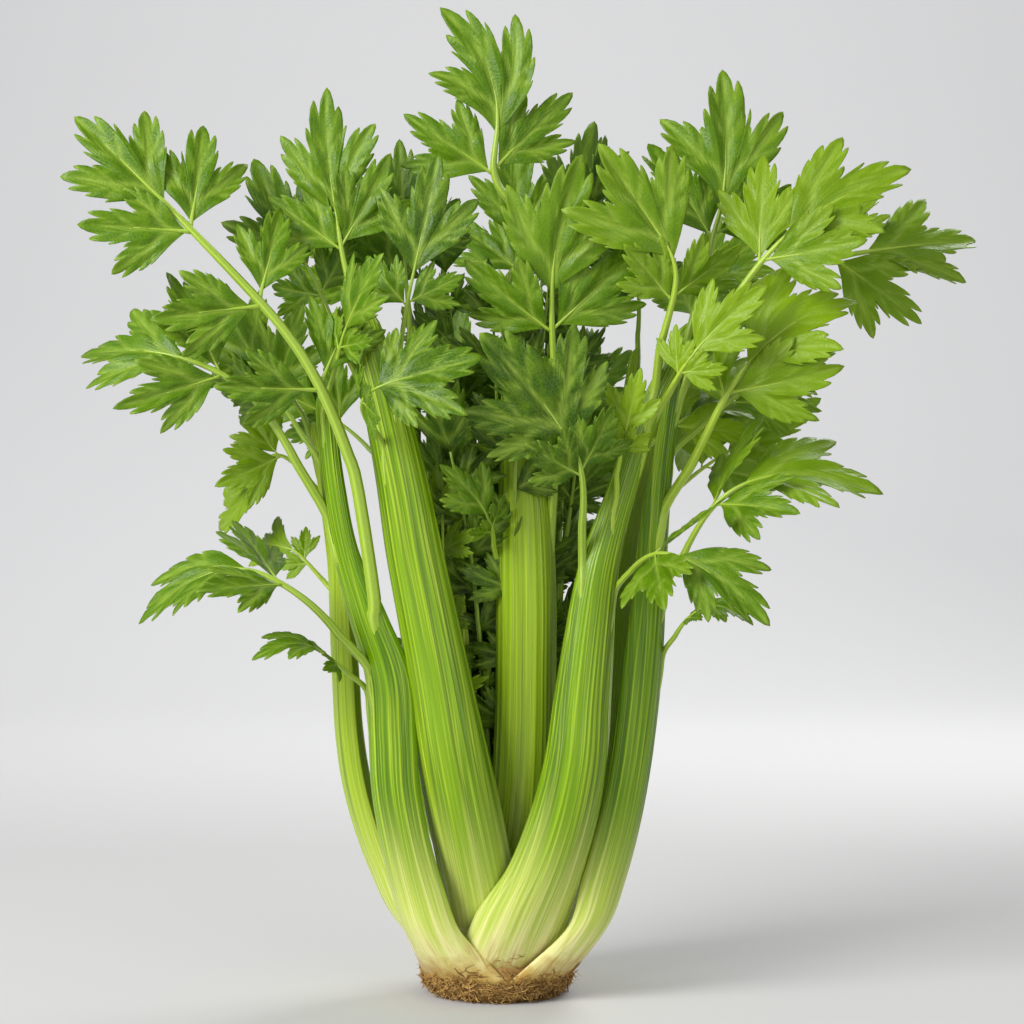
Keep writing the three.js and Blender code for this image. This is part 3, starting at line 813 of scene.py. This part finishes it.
THREE_LOBES = ((-33, 0.80), (0, 1.0), (33, 0.80))
FIVE_LOBES = ((-66, 0.58), (-33, 0.84), (0, 1.0), (33, 0.84), (66, 0.58))


def leaflet(length, breadth, deep, tone, draw, lobes=THREE_LOBES, rings=RING_COUNT, rays=RAYS_PER_EDGE):
    """A leaflet with its base at the origin and its tip along +Y, as a grid of places in metres,
    and the colours of those places."""
    keys, reach, teeth = leaflet_outline(deep, lobes, draw)
    knots = np.arange(len(keys))
    fine = np.linspace(0, len(keys) - 1, (len(keys) - 1) * rays + 1)
    angle = np.interp(fine, knots, keys)
    radius = np.interp(fine, knots, reach) * (1 + 0.035 * np.sin(math.pi * (fine % 1)))
    rho = np.linspace(0, 1, rings) ** 0.8
    r = rho[:, None] * radius[None]
    turn = fan(angle[None], r)
    x = r * np.sin(turn) * breadth
    y = r * np.cos(turn)
    vein = np.zeros_like(x)
    crease = np.zeros_like(x)
    for tooth_at, tooth_reach, lobe_at, lobe_reach, main in teeth:
        t = np.linspace(0, 1, 20)
        if main:
            path_r = 0.02 + t * (lobe_reach - 0.02)
            path_a = lobe_at * ramp(path_r, 0.06, 0.42)
        else:
            begin = lobe_reach * (0.42 + 0.25 * (1 - min(abs(tooth_at - lobe_at) / 0.3, 1)))
            path_r = begin + (tooth_reach - begin) * t
            path_a = lobe_at + (tooth_at - lobe_at) * t**0.8
        path_a = fan(path_a, path_r)
        px, py = path_r * np.sin(path_a) * breadth, path_r * np.cos(path_a)
        gap = np.sqrt((x[..., None] - px) ** 2 + (y[..., None] - py) ** 2).min(-1)
        width = (0.022 if main else 0.014) * (1.25 - 0.6 * np.clip(r, 0, 1))
        vein = np.maximum(vein, (1.0 if main else 0.75) * np.exp(-((gap / width) ** 2)))
        crease = np.maximum(crease, (1.0 if main else 0.6) * np.exp(-((gap / 0.045) ** 2)))
    phase = draw.uniform(0, 6, 3)
    ripple = np.sin(turn * 9 + phase[0]) * 0.5 + np.sin(turn * 21 + phase[1]) * 0.35
    lift = 0.030 * (1 - crease) * ramp(r, 0.05, 0.3) + 0.034 * ripple * rho[:, None] ** 2
    lift = lift - 0.35 * draw.uniform(0.2, 1.2) * x**2 + 0.10 * np.abs(x)
    tones = np.clip(tone + 0.12 * draw.uniform(-1, 1) + 0.10 * rho[:, None] ** 4 + 0 * x, 0, 1)
    colours = np.stack([vein, tones, np.zeros_like(x), np.ones_like(x)], -1)
    return np.stack([x, y, lift], -1) * length, colours


def leaf_sheet(places, colours):
    """A thin closed blade over a grid of places; the row at its base closes to a point."""
    rows, rays = places.shape[:2]
    bm = bmesh.new()
    bmesh.ops.create_grid(bm, x_segments=rays - 1, y_segments=rows - 1, size=0.5)
    for v in bm.verts:
        v.index = round((v.co.y + 0.5) * (rows - 1)) * rays + round((v.co.x + 0.5) * (rays - 1))
    bm.verts.sort()
    layer = bm.verts.layers.float_color.new("tint")
    for v, place, colour in zip(bm.verts, places.reshape(-1, 3), colours.reshape(-1, 4)):
        v.co = place
        v[layer] = colour
    bmesh.ops.remove_doubles(bm, verts=bm.verts[:rays], dist=1e-7)
    bm.normal_update()
    lower = bmesh.ops.duplicate(bm, geom=[*bm.verts, *bm.edges, *bm.faces])
    bmesh.ops.reverse_faces(bm, faces=[f for f in lower["geom"] if isinstance(f, bmesh.types.BMFace)])
    for v in lower["geom"]:
        if isinstance(v, bmesh.types.BMVert):
            v.co += v.normal * BLADE_THICKNESS
            red, green, blue, full = v[layer]
            v[layer] = (red, green, 1 - blue, full)
    bmesh.ops.bridge_loops(bm, edges=[e for e in bm.edges if e.is_boundary])
    return bm


def tube(places, radii, sides, tone):
    """A ridged stem through a line of places, closed at both ends."""
    along = unit(np.gradient(places, axis=0))
    first = unit(TUBE_GUIDE - along * (along @ TUBE_GUIDE)[:, None])
    second = np.cross(along, first)
    turn = np.arange(sides) / sides * 2 * math.pi
    ridge = 0.5 + 0.5 * np.cos(turn * (sides // 4 + 1))
    r = radii[:, None] * (1 + 0.10 * ridge[None])
    rings = places[:, None] + r[..., None] * (
        first[:, None] * np.cos(turn)[None, :, None] + second[:, None] * np.sin(turn)[None, :, None]
    )
    bm = skin(rings)
    values = np.stack(
        [np.broadcast_to(ridge, r.shape), np.full(r.shape, tone), np.zeros(r.shape), np.ones(r.shape)], -1
    )
    return paint(bm, values.reshape(-1, 4))


def rooted(line, stalk, radius):
    """A stem's line, led down along the stalk it grows from and into its surface."""
    tree = STALK_BACKS[stalk]
    sunk = []
    for below, depth in ROOT_STEPS:
        hit, normal, _, _ = tree.find_nearest(Vector(line[0] - np.array((0, 0, below * MM))))
        sunk.append(np.array(hit) - np.array(normal) * radius * depth)
    return np.vstack([sunk, line[3:]])


def build_spray(name, stalk, pairs, tone, deep, breadth):
    """One spray: a grooved stem and its toothed leaflets, along the line of its CAD node."""
    draw = name_draws(name)
    line, side = spray_line(name, stalk)
    run = np.linalg.norm(np.diff(line, axis=0), axis=1).sum()
    radius = float(np.clip(STEM_THICKNESS * run, STEM_THINNEST, STEM_THICKEST))
    line = settled(line)
    facing = np.cross(side, unit(line[-1] - line[-4]))
    if facing @ np.array((0, -0.6, 1)) < 0:
        side = -side
    spine = Spine(line, side)
    blade = min(BLADE_LONGEST, spine.length * BLADE_SHARE) * draw.uniform(0.98, 1.06)
    start = spine.length - blade
    sheets, stems = [], []

    rib_end = 0.62 * blade
    stem_line = rooted(spine.at(np.linspace(0, start, 14))[0], stalk, radius)
    marks = np.linspace(0, 1, len(stem_line))
    fine = np.linspace(0, 1, 44)
    taper = (0.46 + 0.58 * (1 - fine) ** 0.8 + 0.25 * np.exp(-fine * 6)) * (0.3 + 0.7 * ramp(fine, 0, 0.12))
    rib = spine.at(np.linspace(start, start + rib_end, 12)[1:])[0]
    rib_taper = 0.36 * (1 - np.linspace(0, 1, 12)[1:]) ** 1.6 + 0.07
    whole_line = np.vstack([smooth(marks, stem_line, fine), rib])
    stems.append(tube(whole_line, radius * np.concatenate([taper, rib_taper]), 20, tone))

    lobes = FIVE_LOBES if breadth > FIVE_LOBED_FROM else THREE_LOBES
    flat, colours = leaflet(blade, breadth, deep, tone, draw, lobes)
    place, along, across, up = spine.at(start + flat[..., 1])
    sheets.append(leaf_sheet(place + across * flat[..., :1] + up * flat[..., 2:], colours))

    for pair in range(pairs + 2):
        station = start - (FIRST_PAIR + pair * PAIR_SPACING) * blade
        young = pair >= pairs  # the small leaflets lowest on the stem
        if station < (0.30 if young else 0.12) * spine.length or (young and pairs == 0 and pair > 0):
            break
        for hand in (-1, 1):
            s = station + hand * draw.uniform(0.0, 2.0) * MM - 1.0 * MM
            place, along, across, up = (v[0] for v in spine.at(np.array([s])))
            turn = math.radians(SIDE_ANGLE + 5 * pair + draw.uniform(-7, 7)) * hand
            way = along * math.cos(turn) + across * math.sin(turn)
            droop = draw.uniform(0.0, 0.22)
            way = unit(way - up * droop * 0.6)
            wing = unit(np.cross(way, up))
            roll = draw.uniform(-0.3, 0.3)
            top = unit(np.cross(wing, way))
            c, s = math.cos(roll), math.sin(roll)
            wing, top = wing * c + top * s, top * c - wing * s
            size = blade * SIDE_SHARE * 0.94**pair * draw.uniform(0.9, 1.05) * (0.66 if young else 1)
            stalklet = size * (0.06 + 0.05 * pair)
            flat, colours = leaflet(size, breadth, deep, tone, draw)
            sag = droop * flat[..., 1:2] ** 2 / size
            length_way = way * (stalklet + flat[..., 1:2])
            sheet = place + length_way + wing * flat[..., :1] + top * (flat[..., 2:] - sag)
            sheets.append(leaf_sheet(sheet, colours))
            t = np.linspace(0, 1, 9)[:, None]
            run = t * (stalklet + 0.5 * size)
            over = np.maximum(run - stalklet, 0)
            twig = place + way * run - top * droop * over**2 / size
            stems.append(tube(twig, radius * (0.36 * (1 - t[:, 0]) ** 2 + 0.07), 8, tone))

    blades, twigs = joined(sheets), joined(stems)
    for face in twigs.faces:
        face.material_index = 1
    whole = joined([blades, twigs])
    piece(name + "_blades", whole, [LEAF, STEM], [name])


for stalk_name, looks in SPRAYS.items():
    for number, look in enumerate(looks):
        build_spray(f"{stalk_name.replace('stalk', 'leaf')}_{number + 1}", stalk_name, *look)

# ---------------------------------------------------------------- crown
CROWN_LOW, CROWN_HIGH = (np.array(corner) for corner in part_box("crown"))
RIM = (CROWN_HIGH[0] - CROWN_LOW[0]) / 2
FIBRES = 1300
CROWN_SIDES = 160
FEET_FROM = 8 * MM  # the feet of the stalks leave the crown here
GAP_HEIGHT = 14 * MM  # where a gap between two feet is looked for
CLIMB_IN_GAP = 22  # mm
# The crown turned about its middle: share of its rim's radius, and height in mm.
CROWN_PROFILE = (
    (0.2, 0.0), (0.6, 0.0), (0.77, 0.0), (0.83, 0.9), (0.88, 2.4), (0.94, 4.6), (0.97, 7.0), (0.96, 9.5),
    (0.93, 12.0), (0.91, 15.0), (0.89, 20.0), (0.87, 30.0), (0.84, 45.0), (0.76, 62.0), (0.55, 78.0),
    (0.1, 86.0),
)


def foot_surface(angle, height):
    """Distance from the middle to the outside of the feet, or 0 where there is no foot."""
    if height < FEET_FROM:
        return 0.0
    way = Vector((math.cos(angle), math.sin(angle), 0))
    start = way * 3 * RIM + Vector((0, 0, height))
    hits = [tree.ray_cast(start, -way, 3 * RIM)[3] for tree in STALK_BACKS.values()]
    hits = [3 * RIM - reach for reach in hits if reach is not None]
    return min(max(hits, default=0.0), 1.5 * RIM)


def build_crown():
    """The trimmed crown: a rough turned body under a pale bud, with torn fibres all round it."""
    draw = np.random.default_rng(SEED)
    turn = np.arange(CROWN_SIDES) / CROWN_SIDES * 2 * math.pi
    rings, tints = [], []
    for share, z in CROWN_PROFILE:
        for a in turn:
            spot = Vector((math.cos(a), math.sin(a), z * 0.08))
            lump = noise.noise(spot * 5) * 1.2 + noise.noise(spot * 16) * 0.9
            lump *= 0.2 if z == 0 else (1 if z < 11 else 0.25)
            r = RIM * share + lump * MM
            rings.append((r * math.cos(a), r * math.sin(a), z * MM))
            edge = 21 + 5.0 * noise.noise(spot * 9)
            light = 0.30 + 0.45 * noise.noise(spot * 21) + 0.02 * z
            tints.append((min(max(light, 0), 1), float(ramp(z, edge - 1.5, edge + 1.5)), 0, 1))
    body = skin(np.array(rings).reshape(len(CROWN_PROFILE), CROWN_SIDES, 3))
    strands = [paint(body, tints)]
    side_r, side_z = zip(*CROWN_PROFILE[2:])
    for number in range(FIBRES):
        loose = number % 9 == 0  # a rootlet that hangs clear of the rest
        a = draw.uniform(0, 2 * math.pi)
        climb_to = 13 + 8 * noise.noise(Vector((math.cos(a), math.sin(a), 0.3)) * 4)
        if foot_surface(a, GAP_HEIGHT) < RIM:  # a gap between two feet is filled with fibres
            climb_to = CLIMB_IN_GAP
        z = draw.uniform(0.5, 9.0) if number % 3 else draw.uniform(6, max(climb_to, 8))
        r = RIM * np.interp(z, side_z, side_r) + draw.uniform(-0.2, 1.1) * MM
        length = draw.uniform(2, 8) * MM
        t = np.linspace(-0.5, 0.5, 7)
        heading = draw.uniform(-1.1, 1.1)
        bend = draw.uniform(-1, 1, 2)
        sweep = t * math.cos(heading) + 0.16 * bend[0] * np.sin(t * 8)
        climb = t * math.sin(heading) + 0.16 * bend[1] * np.cos(t * 9)
        out = (draw.uniform(2.2, 4.5) * (t + 0.5) ** 2 if loose else draw.uniform(0, 1.4) * (2 * t) ** 2) * MM
        angle = a + sweep * length / r
        radius = r + out
        height = np.clip(z * MM + climb * length, 0.3 * MM, CLIMB_IN_GAP * MM)
        radius = np.maximum(radius, [foot_surface(spot, up) + 0.2 * MM for spot, up in zip(angle, height)])
        places = np.stack([radius * np.cos(angle), radius * np.sin(angle), height], -1)
        thick = draw.uniform(0.11, 0.34) * MM * np.array([0.4, 0.9, 1, 1, 0.9, 0.7, 0.3])
        strand = tube(places, thick * (0.6 if loose else 1), 5, 0)
        light = float(np.clip(draw.normal(0.55, 0.30), 0.02, 1))
        strands.append(paint(strand, np.tile((light, 0, 0, 1), (len(strand.verts), 1))))
    piece("crown_torn", joined(strands), [CROWN], ["crown"])


build_crown()

# ---------------------------------------------------------------- shoots in the heart
HEART_LOW = np.min([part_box(n)[0] for n in STALK_TONES if n.startswith("heart")], axis=0)
HEART_HIGH = np.max([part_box(n)[1] for n in STALK_TONES if n.startswith("heart")], axis=0)
HEART = (HEART_LOW + HEART_HIGH) / 2
SHOOT_LEAF_GAP = 13 * MM
SHOOT_COUNT = 18
SHOOT_FOOT = 55 * MM
SHOOT_LEAF = 27 * MM
GOLDEN = math.radians(137.5)  # turn from one shoot to the next
# Shoots in the gaps beside the inner front stalk: how far aside of it and behind its front their
# feet stand, the heights of their feet and ends, their leaflets' length (all in mm), and their tone.
GAP_SHOOTS = {
    "gap_shoot_left": (-9, 14, 70, 205, 22, 0.80),
    "gap_shoot_left_low": (-6, 24, 50, 160, 15, 0.45),
    "gap_shoot_left_high": (-16, 22, 120, 265, 24, 0.30),
    "gap_shoot_right": (32, 24, 90, 250, 22, 0.30),
    "gap_shoot_right_low": (27, 30, 60, 210, 18, 0.22),
}


def build_shoot(name, line, size, tone):
    """A thin young stem with small cut leaflets on both sides and one at its end."""
    draw = name_draws(name)
    line = np.array(line)
    outward = unit(np.array((line[-1][0] - HEART[0], line[-1][1] - HEART[1] - 0.05, 0.02)))
    spine = Spine(line, np.cross(unit(line[-1] - line[0]), outward))
    sheets, stems = [], []
    marks = np.linspace(0, spine.length, 26)
    stems.append(tube(spine.at(marks)[0], np.linspace(1.7, 0.5, 26) * MM, 8, tone))
    first = spine.length * 0.30
    count = max(2, int((spine.length - first) / SHOOT_LEAF_GAP))
    for i, s in enumerate(np.linspace(first, spine.length, count)):
        place, along, across, up = (v[0] for v in spine.at(np.array([s])))
        last = i == count - 1
        turn = 0.0 if last else math.radians(draw.uniform(35, 75)) * (1 if i % 2 else -1)
        way = along * math.cos(turn) + across * math.sin(turn) + up * draw.uniform(-0.1, 0.5)
        way = unit(way)
        wing = unit(np.cross(way, up) + up * draw.uniform(-0.5, 0.5))
        wing = unit(wing - way * (wing @ way))
        top = np.cross(wing, way)
        long = size * draw.uniform(0.75, 1.1) * (1.15 if last else 1)
        flat, colours = leaflet(long, 0.95, 0.9, tone, draw, rings=7, rays=2)
        curl = draw.uniform(0.0, 0.5) * flat[..., 1:2] ** 2 / long
        sheet = place + way * flat[..., 1:2] + wing * flat[..., :1] + top * (flat[..., 2:] - curl)
        sheets.append(leaf_sheet(sheet, colours))
    blades, twigs = joined(sheets), joined(stems)
    for face in twigs.faces:
        face.material_index = 1
    piece(name, joined([blades, twigs]), [LEAF, STEM], [])


def build_heart():
    """A thicket of young shoots between the stalks, coloured dark green as painted shade."""
    for number in range(SHOOT_COUNT):
        bearing = number * GOLDEN
        way = np.array((math.cos(bearing), math.sin(bearing), 0))
        start = HEART * (1, 1, 0) + way * (6 + 14 * (number % 3) / 2) * MM
        reach = (14 + 24 * (number % 4) / 3) * MM
        rise = (205 + 26 * (number % 6)) * MM - SHOOT_FOOT
        line = [
            start + np.array((0, 0, SHOOT_FOOT + share * rise)) + way * out * reach
            for share, out in ((0, 0), (0.45, 0.25), (0.8, 0.6), (1, 1))
        ]
        # The heart shoots' low tones, 0.02 to 0.18, are painted shade: they are coloured dark because they
        # stand in the shaded middle of the bunch.
        build_shoot(f"heart_shoot_{number + 1}", line, SHOOT_LEAF, 0.02 + 0.04 * (number % 5))
    x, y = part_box("stalk_front_inner")[0][:2]
    for name, (aside, back, low, high, size, tone) in GAP_SHOOTS.items():
        foot = np.array((x + aside * MM, y + back * MM, low * MM))
        head = np.array((x + (aside - 3) * MM, y + (back - 8) * MM, high * MM))
        line = [foot, foot * 0.62 + head * 0.38 + (1 * MM, 2 * MM, 0), foot * 0.3 + head * 0.7, head]
        build_shoot(name, line, size * MM, tone)


build_heart()

# ---------------------------------------------------------------- floor, backdrop and light
def backdrop_material():
    """Matt studio grey, painted darker in front than where it curves up: painted shade that holds the
    brightly lit floor down to the tone of the back.
    """
    material, tree, shader = new_material("studio_grey")
    back = between(tree, along_axis(tree, 1), -0.6, 2.6)
    tree.links.new(mix(tree, back, SHADED_STUDIO_FRONT, STUDIO_BACK), shader.inputs["Base Color"])
    shader.inputs["Roughness"].default_value = 0.8
    shader.inputs["Specular IOR Level"].default_value = 0.1
    return material


FLOOR_WIDTH = 10
FLOOR_RUN = 9.0  # from its front edge to the top of its back, along the sheet
FLOOR_FRONT = -2.5
FLAT_TO = 1.5
BEND = 2.2  # radius of the curve behind


def build_floor():
    """One pale sheet that runs back under the object and curves up behind it."""
    bm = bmesh.new()
    bmesh.ops.create_grid(bm, x_segments=8, y_segments=60, size=0.5)
    for v in bm.verts:
        run = (v.co.y + 0.5) * FLOOR_RUN + FLOOR_FRONT
        turn = min(max((run - FLAT_TO) / BEND, 0), math.pi / 2)
        over = max(run - FLAT_TO - BEND * math.pi / 2, 0)
        y = min(run, FLAT_TO) + BEND * math.sin(turn)
        z = BEND * (1 - math.cos(turn)) + over
        v.co = (v.co.x * FLOOR_WIDTH, y, z)
    mesh = bpy.data.meshes.new("floor")
    bm.to_mesh(mesh)
    bm.free()
    mesh.materials.append(backdrop_material())
    mesh.shade_smooth()
    floor = bpy.data.objects.new("floor", mesh)
    bpy.context.scene.collection.objects.link(floor)


build_floor()


def soft_light(name, place, aim, size, power):
    """A round studio lamp at one place, turned to another."""
    data = bpy.data.lights.new(name, "AREA")
    data.shape = "DISK"
    data.size = size
    data.energy = power
    light = bpy.data.objects.new(name, data)
    light.location = place
    light.rotation_euler = (Vector(aim) - Vector(place)).to_track_quat("-Z", "Y").to_euler()
    bpy.context.scene.collection.objects.link(light)


MIDDLE = (0, 0, 0.2)
soft_light("key", (-1.3, -1.15, 1.05), MIDDLE, 1.1, 45)
soft_light("fill", (0.9, -1.5, 0.5), MIDDLE, 1.2, 6)
soft_light("back", (0.7, 1.0, 1.3), MIDDLE, 0.8, 14)
soft_light("backdrop_light", (0.0, 0.7, 2.1), (0, 3.7, 1.7), 1.8, 44)

ROOM_COLOUR = (0.94, 0.95, 1.0, 1)
ROOM_STRENGTH = 0.44
world = bpy.data.worlds.new("studio")
world.use_nodes = True
room = world.node_tree.nodes["Background"]
room.inputs["Color"].default_value = ROOM_COLOUR
room.inputs["Strength"].default_value = ROOM_STRENGTH
bpy.context.scene.world = world
